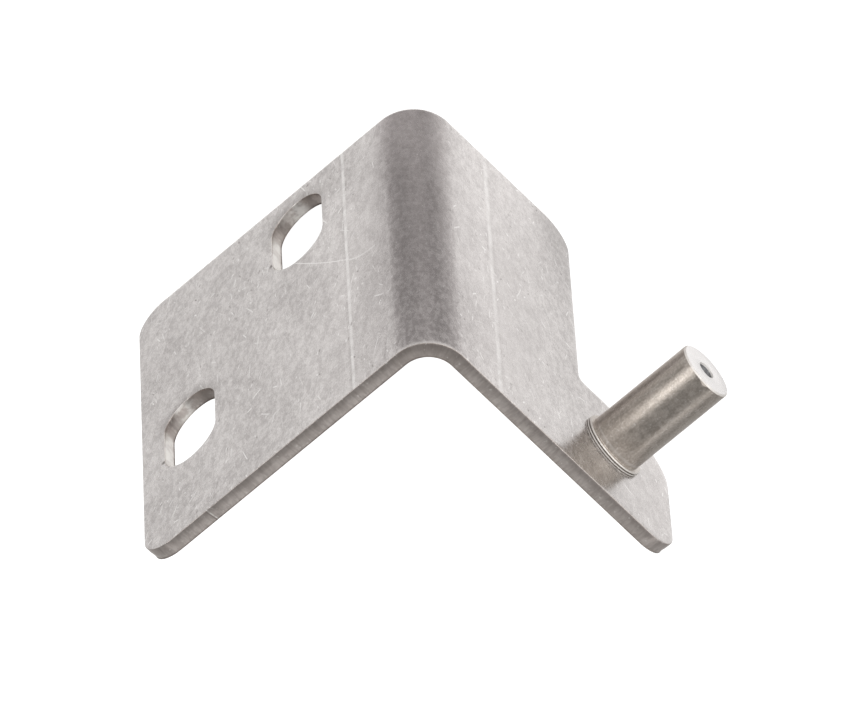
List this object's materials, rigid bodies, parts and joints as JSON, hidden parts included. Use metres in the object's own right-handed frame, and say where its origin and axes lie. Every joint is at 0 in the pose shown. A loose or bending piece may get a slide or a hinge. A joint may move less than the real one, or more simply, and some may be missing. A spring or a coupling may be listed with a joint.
{
  "type": "fryer door hinge",
  "caption": "Folded sheet bracket with slots in one flange and a turned pivot pin on the other flange's tab, for hanging a fryer cabinet door.",
  "frame": {"origin": "on the pivot pin's axis, at the collar face that the door's bush sits on", "axes": "+X out along the pin; +Y square to the slotted flange, out of the face that is fastened to the cabinet; +Z along the fold, towards the edge that the pin's tab is flush with"},
  "size_m": [0.0639, 0.0447, 0.0625],
  "materials": {
    "bracket_steel": "satin mill-finish stainless sheet with fine scratches",
    "pin_steel": "turned steel, slightly warm and darker than the sheet"
  },
  "bodies": {
    "root": {"hinge_bracket": "bracket_steel", "pivot_pin": "pin_steel"}
  },
  "joints": []
}
